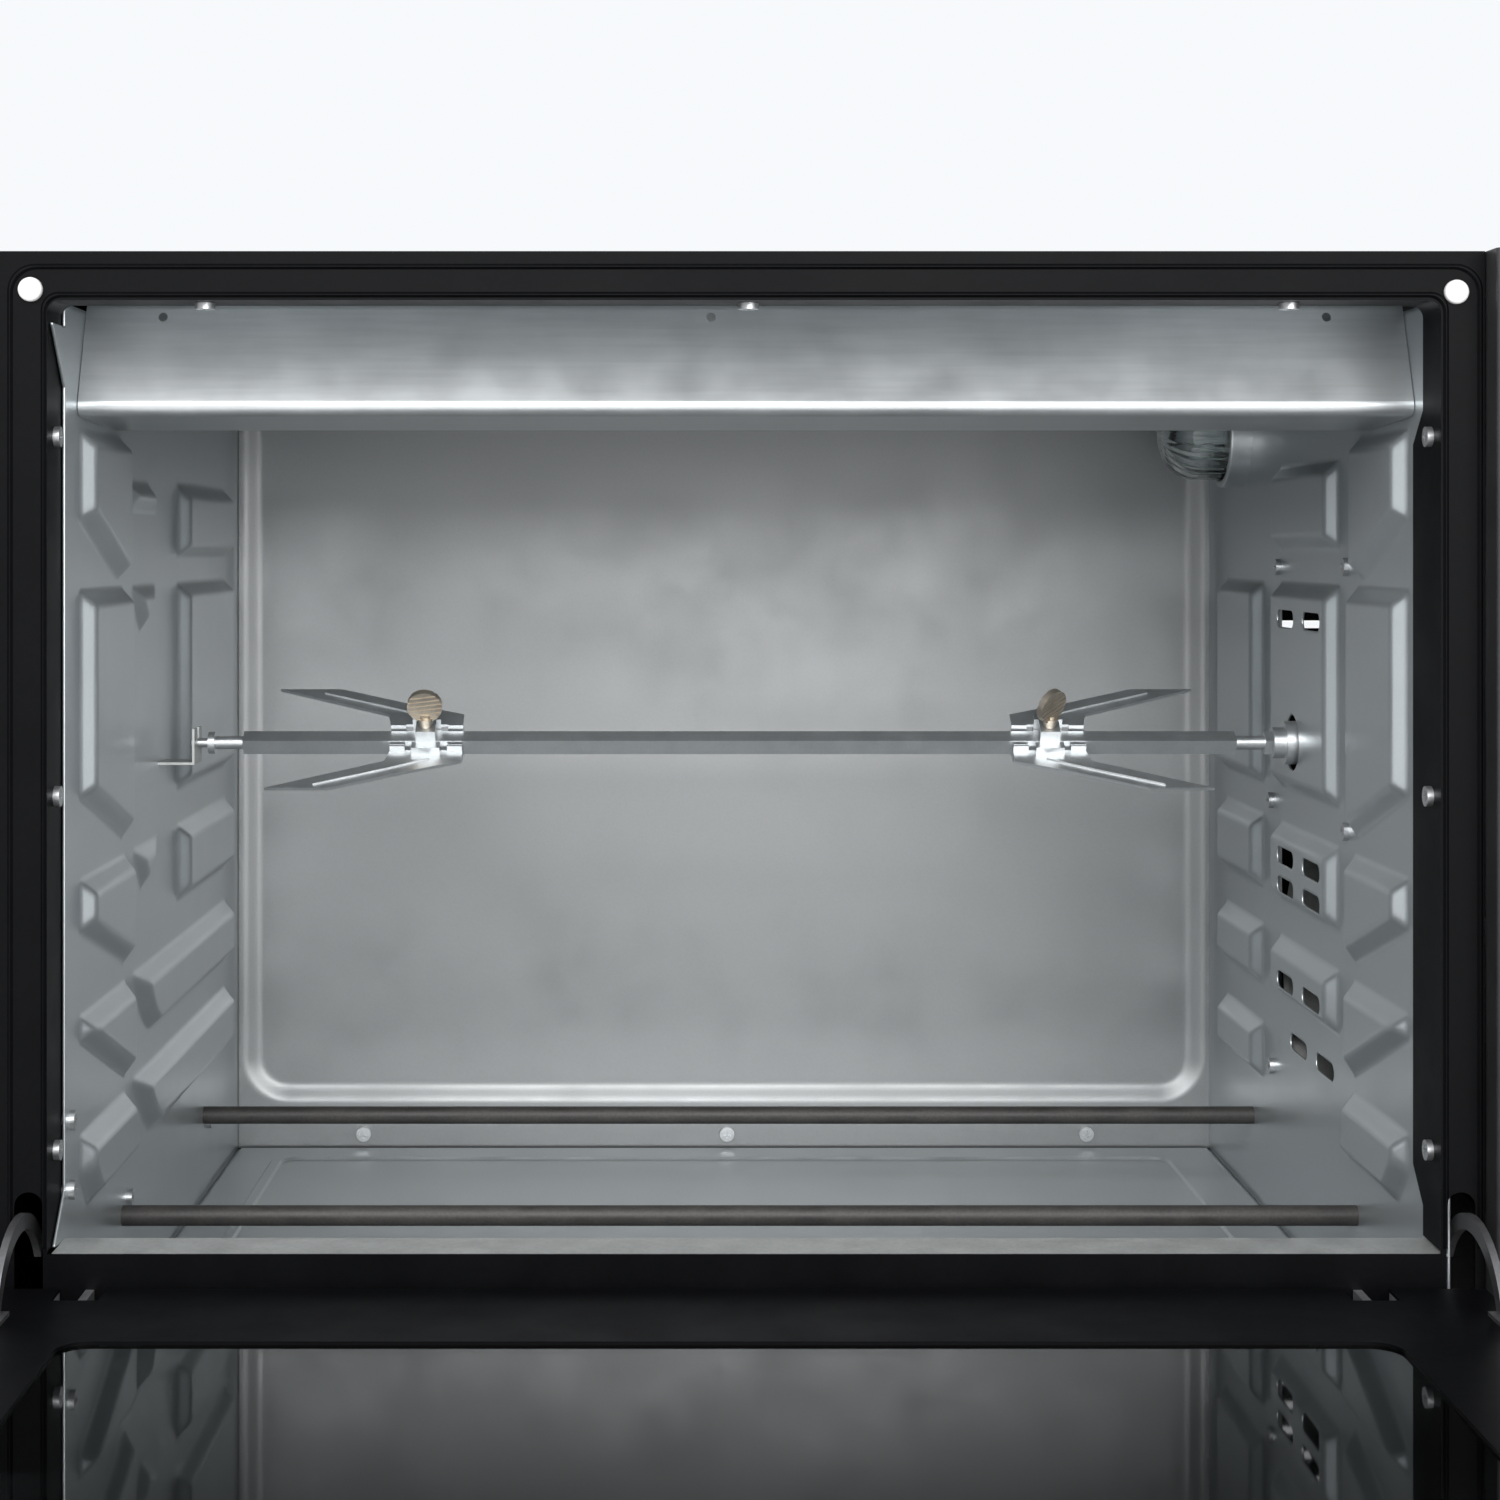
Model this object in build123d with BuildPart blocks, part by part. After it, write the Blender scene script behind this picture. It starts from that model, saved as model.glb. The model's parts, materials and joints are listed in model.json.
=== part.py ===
"""Rotisserie oven: an embossed steel cavity in a sheet shell, with a drop-down door.

Every piece is drawn about the cavity: X = 0 on its centre line, Y = 0 on its front plane,
Z = 0 on the table. save() then moves it so that the part's origin is the bottom centre of
the whole oven with its door down.
"""
import os
from math import cos, radians, sin

from build123d import *

os.makedirs("parts", exist_ok=True)

# ---------------------------------------------------------------- driving dimensions, mm
cavity_width = 487.5
cavity_depth = 380
cavity_height = 392
floor_z = 50                 # cavity floor above the table
sheet = 1.0                  # cavity and shell sheet

shell_left = 275             # outer faces, from the cavity's centre line and front plane
shell_right = 376
shell_back = 430
shell_top = 454.3
shell_front = -20
foot_height = 22
foot_radius = 15

frame_face = -22             # front frame
frame_left = -272
frame_right = 256.5
frame_bottom = 66
mouth_left, mouth_right = -245.05, 241.2      # inner faces of the frame's jambs
mouth_top = 437.2
mouth_bottom = 104.3
mouth_radius = 4.5
outer_bead_left, outer_bead_right, outer_bead_top = -257.9, 254.8, 448.9
bead_radius = 1.0
jamb_rear = 12.5             # the right jamb laps the inside of the cavity wall

spit_y = 182
spit_z = floor_z + 217.5
spit_side = 7
spit_tilt = 32               # the rod's upper face leans this far towards the door
rod_left, rod_right = -209, 213.4

hinge_y = -36                # door hinge axis
hinge_z = 84
door_reach = 404             # door's top edge ahead of the cavity when down
door_left, door_right = -272, 254
door_inner_face = 95.5
door_outer_face = 68

element_radius = 4
element_rows = {             # name: depth, height above the cavity floor
    "lower_front_element": (100, 36.8),
    "lower_rear_element": (283, 36.8),
    "upper_front_element": (105, 360),
    "upper_rear_element": (225, 362),
}
element_reach = 258          # half length over the terminals

lamp_y, lamp_z = 309, floor_z + 354
fan_y, fan_z = 172, floor_z + 118
panel_x = (257.2 + shell_right) / 2
knob_heights = {"temperature": 372, "function": 292, "timer": 212}
indicator_z = 152
gland_x, gland_z = 330, 66
gland_reach = 6

half_width = cavity_width / 2
ceiling_z = floor_z + cavity_height
origin_shift = Location(((shell_left - shell_right) / 2,
                         (door_reach - shell_back - gland_reach) / 2, 0))


def save(piece, name):
    """Move a finished piece to the part's origin, label it and write its file."""
    placed = piece.part.moved(origin_shift)
    placed.label = name
    export_step(placed, f"parts/{name}.step")


def block(x0, x1, y0, y1, z0, z1, mode=Mode.ADD):
    """A straight-sided block between two corners."""
    with Locations(((x0 + x1) / 2, (y0 + y1) / 2, (z0 + z1) / 2)):
        Box(x1 - x0, y1 - y0, z1 - z0, mode=mode)


def side_plane(x, y=0, z=0):
    """The upright plane at x: sketch x runs back, sketch y runs up, extrusion runs to +X."""
    return Plane(origin=(x, y, z), x_dir=(0, 1, 0), z_dir=(1, 0, 0))


def front_plane(y, x=0, z=0):
    """The upright plane at y, seen from the door: sketch y runs up, extrusion runs to -Y."""
    return Plane(origin=(x, y, z), x_dir=(1, 0, 0), z_dir=(0, -1, 0))


def rod(plane_at_end, radius, length, mode=Mode.ADD):
    """A round bar that starts on a plane and runs along its normal."""
    with BuildSketch(plane_at_end) as section:
        Circle(radius)
    extrude(section.sketch, amount=length, mode=mode)


def pan_screw(seat, head_radius=3.6, head_height=2.2, shank=6, shank_radius=1.6):
    """A cross-recessed pan head screw: the head stands on the seat, the shank goes below."""
    with BuildSketch(seat) as head:
        Circle(head_radius)
    extrude(head.sketch, amount=head_height)
    with BuildSketch(seat) as stem:
        Circle(shank_radius)
    extrude(stem.sketch, amount=-shank)
    with BuildSketch(seat.offset(head_height)) as recess:
        Rectangle(head_radius * 1.1, 0.9)
        Rectangle(0.9, head_radius * 1.1)
    extrude(recess.sketch, amount=-head_height / 2, mode=Mode.SUBTRACT)


# ---------------------------------------------------------------- screws of cavity and shell
jamb_heights = (138, 263, 390)
lintel_spots = (-192, 0, 191)
strip_spots = (-180.5, 1.6, 181.7)
cover_seats = [(x, z) for x in (-262, 50, 362) for z in (40, 440)]
left_screws = [(110, 41.5), (292, 32.5), (8, 94.7), (8, 69.7)]
right_screws = [(230, 292), (114, 293), (244, 187), (114, 187), (242, 68)]
with BuildPart() as pan_screws:
    for z in jamb_heights:
        for x, inward in ((mouth_left, 1), (mouth_right, -1)):
            pan_screw(Plane(origin=(x, -10, z), x_dir=(0, inward, 0), z_dir=(inward, 0, 0)),
                      shank=sheet)
    for x in lintel_spots:
        pan_screw(Plane(origin=(x, -10, mouth_top), x_dir=(1, 0, 0), z_dir=(0, 0, -1)),
                  shank=sheet)
    for x, inward, seats in ((-half_width, 1, left_screws), (half_width, -1, right_screws)):
        for y, z in seats:
            pan_screw(Plane(origin=(x, y, floor_z + z), x_dir=(0, inward, 0),
                            z_dir=(inward, 0, 0)))
    for x in strip_spots:
        pan_screw(front_plane(cavity_depth, x, floor_z + 6.5))
    for x, z in cover_seats:
        pan_screw(Plane(origin=(x, shell_back, z), x_dir=(-1, 0, 0), z_dir=(0, 1, 0)), shank=sheet)
save(pan_screws, "pan_screws")

# ---------------------------------------------------------------- embossed side walls
# Raised panels between the rack grooves, as (depth, height above the floor) outlines.
emboss_depth = 6
emboss_corner = 5
nib_depth = 4


def front_column(front):
    """The lead-in panels beside the mouth: each has a lower edge that slopes to the rear."""
    return [
        [(front, 344), (front, 311), (88, 288), (96, 290), (96, 344)],
        [(front, 285), (front, 209), (100, 186), (100, 285)],
        [(front, 179), (front, 160), (103, 136), (103, 179)],
        [(front, 129), (front, 120), (104, 91), (104, 129)],
        [(front, 85), (front, 72), (front + 14, 58), (112, 58), (104, 85)],
    ]


def panel_column(y0, y1, rows):
    """Plain rectangular panels one above the other."""
    return [[(y0, z0), (y1, z0), (y1, z1), (y0, z1)] for z0, z1 in rows]


left_panels = front_column(22) + panel_column(214, 340, [(296, 328), (195, 285), (146, 179)]) + [
    [(117, 129), (136, 108), (150, 101), (340, 101), (340, 129)],
    [(117, 87), (138, 66), (152, 59), (340, 59), (340, 87)],
]
left_nibs = [
    [(103, 327), (112, 315.5), (170, 315.5), (152, 327)],
    [(115, 285), (133, 266), (169, 285)],
    [(118, 179), (135, 161), (174, 179)],
]
right_panels = (
    front_column(26)
    + panel_column(125, 228, [(300, 336), (195.7, 285), (145.5, 179), (103.6, 129)])
    + panel_column(259, 340, [(194, 285), (146, 179), (102, 129), (59, 84)])
)
vent_size = (30, 7.5)
vent_depths = (150, 195)
vent_heights = (270, 167, 154, 113, 85.5)


def raise_panels(wall_x, inward, outlines, depth, corner):
    """Press panels into a wall: the same tapered shape is added inside and taken outside."""
    for outline in outlines:
        for start, mode in ((wall_x, Mode.ADD), (wall_x - inward * sheet, Mode.SUBTRACT)):
            with BuildSketch(side_plane(start)) as face:
                with BuildLine():
                    Polyline(*[(y, floor_z + z) for y, z in outline], close=True)
                make_face()
                fillet(face.vertices(), corner)
            extrude(face.sketch, amount=inward * depth, taper=45, mode=mode)


def element_holes(wall_x):
    """Clearance holes where the heating elements pass a wall."""
    with BuildSketch(side_plane(wall_x)) as holes:
        with Locations(*[(y, floor_z + z) for y, z in element_rows.values()]):
            Circle(element_radius + 0.4)
    extrude(holes.sketch, amount=2 * sheet, both=True, mode=Mode.SUBTRACT)


with BuildPart() as left_wall:
    with BuildSketch(side_plane(-half_width - sheet)):
        with BuildLine():
            Polyline((cavity_depth, floor_z - 1), (cavity_depth, ceiling_z), (0, ceiling_z),
                     (0, mouth_top - 3.6), (frame_face + 3, mouth_top - 3.6),
                     (0, floor_z + 358), (0, floor_z + 71.4),
                     (frame_face + 6, mouth_bottom + 1), (0, mouth_bottom - 1),
                     (0, floor_z - 1), close=True)
        make_face()
    extrude(amount=sheet)
    raise_panels(-half_width, 1, left_panels, emboss_depth, emboss_corner)
    raise_panels(-half_width, 1, left_nibs, nib_depth, 2)
    element_holes(-half_width)
    add(pan_screws.part, mode=Mode.SUBTRACT)
save(left_wall, "left_wall")

socket_hole = 10.7
with BuildPart() as right_wall:
    block(half_width, half_width + sheet, frame_face + sheet, cavity_depth, floor_z - 1, ceiling_z)
    raise_panels(half_width, -1, right_panels, emboss_depth, emboss_corner)
    element_holes(half_width)
    with BuildSketch(side_plane(half_width - 2 * emboss_depth)):
        with Locations(*[(y, floor_z + z) for y in vent_depths for z in vent_heights]):
            SlotOverall(*vent_size)
        with Locations((spit_y, spit_z)):
            Circle(socket_hole)
        with Locations((lamp_y, lamp_z)):
            Circle(20)
    extrude(amount=4 * emboss_depth, mode=Mode.SUBTRACT)
    add(pan_screws.part, mode=Mode.SUBTRACT)
save(right_wall, "right_wall")

# ---------------------------------------------------------------- rest of the cavity
recess_depth = 3.5
with BuildPart() as back_wall:
    block(-half_width, half_width, cavity_depth, cavity_depth + sheet, floor_z - 1, ceiling_z)
    for start, mode in ((cavity_depth + sheet, Mode.ADD), (cavity_depth, Mode.SUBTRACT)):
        with BuildSketch(Plane.XZ.offset(-start)) as recess:
            with Locations((0, (floor_z + 23 + ceiling_z - 6) / 2)):
                RectangleRounded(cavity_width - 8, cavity_height - 29, 22)
        extrude(amount=-recess_depth, taper=68, mode=mode)
    add(pan_screws.part, mode=Mode.SUBTRACT)
save(back_wall, "back_wall")

with BuildPart() as ceiling_panel:
    block(-half_width - sheet, half_width + sheet, 0, cavity_depth + sheet,
          ceiling_z, ceiling_z + sheet)
    # Its front edge is folded down onto the lintel.
    block(-half_width, half_width, 0, sheet, mouth_top + sheet, ceiling_z)
save(ceiling_panel, "ceiling_panel")

floor_pan_z = floor_z - 2.6
with BuildPart() as floor_pan:
    block(-half_width - sheet, half_width + sheet, 0, cavity_depth + sheet,
          floor_pan_z, floor_pan_z + sheet)
    for end in (-1, 1):
        inner = end * (half_width + sheet)
        block(min(inner, inner + end * sheet), max(inner, inner + end * sheet),
              0, cavity_depth + sheet, floor_pan_z, floor_z + 12)
save(floor_pan, "floor_pan")

# The folded baffle hangs from the ceiling in front of the upper elements.
baffle_width = 487
with BuildPart() as top_baffle:
    with BuildSketch(Plane.YZ.offset(-baffle_width / 2)) as baffle_profile:
        with BuildLine() as baffle_line:
            FilletPolyline((60, ceiling_z - 0.5), (35, ceiling_z - 0.5), (17, floor_z + 349),
                           (77, floor_z + 346), radius=4)
            offset(amount=sheet, side=Side.LEFT)
        make_face()
    extrude(amount=baffle_width)
    with BuildSketch(front_plane(45)):
        with Locations(*[(x, floor_z + 386) for x in (-215, -12.5, 215)]):
            Circle(1.7)
    extrude(amount=20, mode=Mode.SUBTRACT)
save(top_baffle, "top_baffle")

# The tray lies on the floor pan and slides out below the sill and the open door.
tray_half = half_width - 2.3
tray_back = cavity_depth - 3
tray_border = 19
with BuildPart() as crumb_tray:
    block(-tray_half, tray_half, -22, tray_back, floor_z - 1, floor_z)
    with BuildSketch(Plane.XY.offset(floor_z)):
        with Locations((0, tray_back / 2)):
            RectangleRounded(2 * (tray_half - tray_border), tray_back - 2 * tray_border, 12)
            RectangleRounded(2 * (tray_half - tray_border - 6), tray_back - 2 * tray_border - 12,
                             8, mode=Mode.SUBTRACT)
    extrude(amount=1.2, taper=40)
    block(-tray_half, tray_half, -24, -22.3, floor_z - 1, floor_z + 13)
    block(-tray_half, tray_half, -22.3, -22, floor_z - 1, floor_z)
    with BuildSketch(front_plane(-24)):
        with Locations((0, floor_z + 9.5)):
            Rectangle(120, 6)
    extrude(amount=8)
save(crumb_tray, "crumb_tray")

# ---------------------------------------------------------------- mouth, frame and shell
with BuildPart() as front_sill:
    block(-half_width, half_width, frame_face + 1, 0, mouth_bottom - sheet, mouth_bottom)
    block(-half_width, half_width, -sheet, 0, floor_z + 13.5, mouth_bottom - sheet)
save(front_sill, "front_sill")

slot_width = 10
slot_top = 126
slot_centres = (-251.5, 248.2)


def arch(left, right, top, radius, mode=Mode.ADD):
    """An opening with rounded upper corners and a flat sill at the mouth's bottom."""
    height = top - mouth_bottom
    middle = (left + right) / 2
    with Locations((middle, mouth_bottom + height / 2)):
        RectangleRounded(right - left, height, radius, mode=mode)
    with Locations((middle, mouth_bottom + height / 4)):
        Rectangle(right - left, height / 2, mode=mode)


with BuildPart() as front_frame:
    with BuildSketch(front_plane(frame_face + sheet)):
        with Locations(((frame_left + frame_right) / 2, (frame_bottom + shell_top) / 2)):
            Rectangle(frame_right - frame_left, shell_top - frame_bottom)
        arch(mouth_left, mouth_right, mouth_top, mouth_radius, mode=Mode.SUBTRACT)
    extrude(amount=sheet)
    with BuildSketch(front_plane(0)):
        arch(mouth_left - sheet, mouth_right + sheet, mouth_top + 0.8, mouth_radius + sheet)
        arch(mouth_left, mouth_right, mouth_top, mouth_radius, mode=Mode.SUBTRACT)
        with Locations((0, mouth_bottom)):
            Rectangle(cavity_width + 10, 2, mode=Mode.SUBTRACT)
    extrude(amount=-frame_face - sheet)
    # The right jamb runs on inside the wall, with its ends cut back.
    with BuildSketch(side_plane(mouth_right)):
        with BuildLine():
            Polyline((0, floor_z + 350), (jamb_rear, floor_z + 338), (jamb_rear, floor_z + 78),
                     (0, floor_z + 66), close=True)
        make_face()
    extrude(amount=sheet)
    for left, right, top, radius in (
            (mouth_left - 1.2, mouth_right + 1.7, mouth_top + 1.9, mouth_radius + 1.7),
            (outer_bead_left, outer_bead_right, outer_bead_top, mouth_radius + 5)):
        with BuildSketch(front_plane(frame_face)):
            arch(left - bead_radius, right + bead_radius, top + bead_radius, radius)
            arch(left + bead_radius, right - bead_radius, top - bead_radius, radius - 1,
                 mode=Mode.SUBTRACT)
            with Locations((0, mouth_bottom)):
                Rectangle(2 * shell_right, 4 * bead_radius, mode=Mode.SUBTRACT)
        extrude(amount=bead_radius, taper=40)
    with BuildSketch(front_plane(frame_face + sheet)):
        with Locations(*[(x, (frame_bottom + slot_top) / 2 + 2) for x in slot_centres]):
            SlotOverall(slot_top - frame_bottom - 4, slot_width, rotation=90)
    extrude(amount=2 * sheet, both=True, mode=Mode.SUBTRACT)
    add(pan_screws.part, mode=Mode.SUBTRACT)
save(front_frame, "front_frame")

bumper_radius = 4.25
bumper_spots = ((-250.7, 440.9), (246.4, 440.0))
with BuildPart() as frame_bumpers:
    for x, z in bumper_spots:
        with BuildSketch(front_plane(frame_face)):
            with Locations((x, z)):
                Circle(bumper_radius)
        extrude(amount=2.2)
    fillet(frame_bumpers.edges().group_by(Axis.Y)[0], 1.2)
    add(front_frame.part, mode=Mode.SUBTRACT)
save(frame_bumpers, "frame_bumpers")

with BuildPart() as top_cover:
    block(-shell_left, shell_right, shell_front, shell_back, shell_top - sheet, shell_top)
    with BuildSketch(Plane.XY.offset(shell_top - 2 * sheet)):
        with Locations((panel_x, 250)):
            with GridLocations(0, 14, 1, 12):
                SlotOverall(70, 4)
    extrude(amount=3 * sheet, mode=Mode.SUBTRACT)
save(top_cover, "top_cover")

base_z = foot_height + sheet
with BuildPart() as base_panel:
    block(-shell_left, shell_right, shell_front, shell_back, foot_height, base_z)
save(base_panel, "base_panel")

with BuildPart() as left_side_panel:
    block(-shell_left, -shell_left + sheet, shell_front, shell_back, base_z, shell_top - sheet)
save(left_side_panel, "left_side_panel")

with BuildPart() as right_side_panel:
    block(shell_right - sheet, shell_right, shell_front, shell_back, base_z, shell_top - sheet)
    with BuildSketch(side_plane(shell_right - 2 * sheet)):
        with Locations((230, 270)):
            with GridLocations(110, 13, 2, 14):
                SlotOverall(80, 4)
    extrude(amount=3 * sheet, mode=Mode.SUBTRACT)
save(right_side_panel, "right_side_panel")

with BuildPart() as rear_cover:
    block(-shell_left + sheet, shell_right - sheet, shell_back - sheet, shell_back,
          base_z, shell_top - sheet)
    with BuildSketch(front_plane(shell_back + sheet)):
        for x in (-150, 60, panel_x):
            with Locations((x, 330)):
                with GridLocations(0, 13, 1, 10):
                    SlotOverall(90, 4)
        with Locations((gland_x, gland_z)):
            Circle(8)
    extrude(amount=3 * sheet, mode=Mode.SUBTRACT)
    add(pan_screws.part, mode=Mode.SUBTRACT)
save(rear_cover, "rear_cover")

with BuildPart() as base_front_rail:
    block(frame_left, frame_right, shell_front - sheet, shell_front, foot_height, floor_z - 3)
save(base_front_rail, "base_front_rail")

# Cross rails on the base carry the cavity.
with BuildPart() as cavity_rails:
    for y in (40, 340):
        block(-shell_left + sheet, shell_right - sheet, y - 12, y + 12, base_z, base_z + sheet)
        for x in (-225, -75, 75, 225):
            block(x - 10, x + 10, y - 12, y + 12, base_z + sheet, floor_pan_z)
save(cavity_rails, "cavity_rails")

foot_spots = [(x, y) for x in (-225, 326) for y in (25, 385)]
with BuildPart() as feet:
    with BuildSketch(Plane.XY):
        with Locations(*foot_spots):
            Circle(foot_radius)
    extrude(amount=foot_height)
    chamfer(feet.edges().group_by(Axis.Z)[0], 1.5)
save(feet, "feet")

gland_radius = 12
with BuildPart() as cord_gland:
    seat = Plane(origin=(gland_x, shell_back, gland_z), x_dir=(-1, 0, 0), z_dir=(0, 1, 0))
    with BuildSketch(seat):
        Circle(gland_radius)
    extrude(amount=gland_reach, taper=12)
    with BuildSketch(seat):
        Circle(8)
    extrude(amount=-6)
    with BuildSketch(seat.offset(gland_reach)):
        Circle(3.6)
    extrude(amount=-gland_reach - 6, mode=Mode.SUBTRACT)
save(cord_gland, "cord_gland")

# ---------------------------------------------------------------- heating elements
for name, (depth, height) in element_rows.items():
    with BuildPart() as element:
        rod(side_plane(-element_reach + 6, depth, floor_z + height), element_radius,
            2 * element_reach - 12)
        for end in (-1, 1):
            rod(side_plane(end * (element_reach - 6), depth, floor_z + height), 2, end * 6)
    save(element, name)

bush_length = 6
with BuildPart() as element_bushes:
    for depth, height in element_rows.values():
        for end in (-1, 1):
            with BuildSketch(side_plane(end * (half_width + sheet), depth, floor_z + height)):
                Circle(7)
                Circle(element_radius, mode=Mode.SUBTRACT)
            extrude(amount=end * bush_length)
save(element_bushes, "element_bushes")

# ---------------------------------------------------------------- spit, its bracket and drive
tilt = radians(spit_tilt)
upper_normal = (0, -sin(tilt), cos(tilt))        # the rod's upper face looks this way
pin_radius = 2
collar_left = -223.8
pin_end = -231
socket_start, socket_end = 229, 240
square_end = 238


def spit_plane(x):
    """The plane across the spit at x, centred on its axis."""
    return side_plane(x, spit_y, spit_z)


with BuildPart() as spit_rod:
    with BuildSketch(spit_plane(rod_left)):
        Rectangle(spit_side, spit_side, rotation=spit_tilt)
    extrude(amount=rod_right - rod_left)
    rod(spit_plane(rod_left), 2.75, -12)
    rod(spit_plane(-221), 4.7, collar_left + 221)
    rod(spit_plane(collar_left), pin_radius, pin_end - collar_left)
    rod(spit_plane(rod_right), 2.95, 225.8 - rod_right)
    with BuildSketch(spit_plane(225.8)):
        Rectangle(spit_side, spit_side, rotation=spit_tilt)
    extrude(amount=square_end - 225.8)
save(spit_rod, "spit_rod")

shaft_radius = 4
shaft_end = 272
with BuildPart() as drive_socket:
    rod(spit_plane(socket_start), 6.6, 6)
    rod(spit_plane(socket_start + 5), 9.2, socket_end - socket_start - 5)
    rod(spit_plane(socket_end), shaft_radius, shaft_end - socket_end)
    with BuildSketch(spit_plane(socket_start)):
        Rectangle(spit_side + 0.2, spit_side + 0.2, rotation=spit_tilt)
    extrude(amount=9.5, mode=Mode.SUBTRACT)
save(drive_socket, "drive_socket")

# A folded bracket on the left wall: the spit's pin lies in the notch of its upright.
bracket_x = -228.5
notch_radius = pin_radius + 0.08
with BuildPart() as spit_bracket:
    block(-half_width, bracket_x, spit_y - 9, spit_y + 9, spit_z - 8.7, spit_z - 7.7)
    block(bracket_x - sheet, bracket_x, spit_y - 9, spit_y + 9, spit_z - 8.7, spit_z + 6.5)
    rod(spit_plane(bracket_x - 2 * sheet), notch_radius, 3 * sheet, mode=Mode.SUBTRACT)
    block(bracket_x - 2 * sheet, bracket_x + sheet, spit_y - notch_radius,
          spit_y + notch_radius, spit_z, spit_z + 10, mode=Mode.SUBTRACT)
save(spit_bracket, "spit_bracket")

motor_seat = 262
with BuildPart() as spit_motor:
    rod(spit_plane(motor_seat), 26, 24)
    with BuildSketch(spit_plane(motor_seat)):
        RectangleRounded(76, 50, 6)
    extrude(amount=-1.5)
    for y in (-32, 32):
        rod(side_plane(half_width + sheet, spit_y + y, spit_z), 4,
            motor_seat - 1.5 - half_width - sheet)
    rod(spit_plane(motor_seat - 3), shaft_radius + 0.05, shaft_end - motor_seat + 5,
        mode=Mode.SUBTRACT)
save(spit_motor, "spit_motor")

# ---------------------------------------------------------------- forks and thumb screws
hub_ends = (115.6, 146.4)
band_width = 6.4
strap = 1.4                  # sheet of the fork
strap_inner = 4.4            # straps clear the rod, which has a half side of 3.5
upper_plate, lower_plate = 5.2, -1.0         # levels of the two prong plates
blade = ((115.6, 5), (115.6, 12.5), (139, 20), (170, 31.2), (196.6, 31.2), (148, 12.5),
         (146.4, 5))
rib = ((129, 10.5), (146, 17.2), (177, 28.6))
nut_half = 6
screw_centres = {"left": -131, "right": 133.8}
screw_radius = 2.5


def fork(end):
    """A two-pronged fork of bent sheet; end is -1 for the left fork and 1 for the right one."""
    screw_x = screw_centres["right" if end > 0 else "left"]
    shift = screw_x - end * 131
    flat = Plane(origin=(shift, spit_y, spit_z), x_dir=(1, 0, 0), z_dir=upper_normal)

    def slab(x0, x1, v0, v1, w0, w1, mode=Mode.ADD):
        with BuildSketch(flat.offset(w0)) as face:
            with Locations((end * (x0 + x1) / 2, (v0 + v1) / 2)):
                Rectangle(x1 - x0, v1 - v0)
        extrude(face.sketch, amount=w1 - w0, mode=mode)

    with BuildPart() as piece:
        for way, level in ((1, upper_plate), (-1, lower_plate)):
            with BuildSketch(flat.offset(level - strap / 2)):
                with BuildLine():
                    Polyline(*[(end * x, way * v) for x, v in blade], close=True)
                make_face()
            extrude(amount=strap)
            with BuildSketch(flat.offset(level)):
                with BuildLine():
                    Polyline(*[(end * x, way * v) for x, v in rib])
                trace(line_width=2.6)
            extrude(amount=strap / 2 + 0.7, taper=20)
        for x0 in (hub_ends[0], hub_ends[1] - band_width):
            x1 = x0 + band_width
            slab(x0, x1, strap_inner, strap_inner + strap, -strap_inner - strap,
                 upper_plate + strap / 2)
            slab(x0, x1, -strap_inner - strap, -strap_inner, -strap_inner - strap, 2.4)
            slab(x0, x1, -strap_inner - strap, strap_inner + strap, -strap_inner - strap,
                 -strap_inner)
        nut = (131 - nut_half, 131 + nut_half)
        slab(*nut, -8, 8, -strap_inner - 2, 3.2)
        slab(*nut, strap_inner, 8, 0, 9)
        slab(131 - 4.2, 131 + 4.2, -3.6, 8, 7.8, 9)
        slab(131 - 4.2, 131 + 4.2, -4.6, -3.4, 2, 9)
        slab(hub_ends[0] - 1, hub_ends[1] + 1, -spit_side / 2 - 0.1, spit_side / 2 + 0.1,
             -spit_side / 2 - 0.1, 4.5, mode=Mode.SUBTRACT)
        with BuildSketch(flat) as bore:
            with Locations((end * 131, 0)):
                Circle(screw_radius + 0.08)
        extrude(bore.sketch, amount=20, mode=Mode.SUBTRACT)
    return piece


head_radius, head_sheet, head_centre = 7.4, 3, 19.2


def thumb_screw(screw_x, turn):
    """A screw with a round reeded head for finger and thumb, turned about its own axis."""
    flat = Plane(origin=(screw_x, spit_y, spit_z), x_dir=(cos(radians(turn)),
                 sin(radians(turn)) * cos(tilt), sin(radians(turn)) * sin(tilt)),
                 z_dir=upper_normal)
    upright = Plane(origin=flat.origin, x_dir=flat.x_dir, z_dir=-flat.y_dir)
    with BuildPart() as piece:
        rod(flat.offset(spit_side / 2 + 0.1), screw_radius, head_centre - spit_side / 2 - 4)
        with BuildSketch(flat.offset(head_centre - head_radius - 2.5)):
            Circle(screw_radius + 0.2)
        extrude(amount=4.5, taper=-12)
        with BuildSketch(upright):
            with Locations((0, head_centre)):
                Circle(head_radius)
        extrude(amount=head_sheet / 2, both=True)
        for way in (-1, 1):
            with BuildSketch(upright.offset(way * head_sheet / 2)):
                with Locations((0, head_centre)):
                    with GridLocations(1, 2.1, 1, 6):
                        Rectangle(2 * head_radius, 0.7, rotation=8)
            extrude(amount=-way * 0.45, mode=Mode.SUBTRACT)
    return piece


for side_name, side_sign, turn in (("left", -1, 0), ("right", 1, 40)):
    save(fork(side_sign), f"fork_{side_name}")
    save(thumb_screw(screw_centres[side_name], turn), f"thumb_screw_{side_name}")

# ---------------------------------------------------------------- oven lamp
with BuildPart() as lamp_ring:
    with BuildSketch(side_plane(half_width, lamp_y, lamp_z)):
        Circle(25)
        Circle(21.6, mode=Mode.SUBTRACT)
    extrude(amount=-10)
    fillet(lamp_ring.edges().group_by(Axis.X)[0], 1.2)
save(lamp_ring, "lamp_ring")

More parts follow.
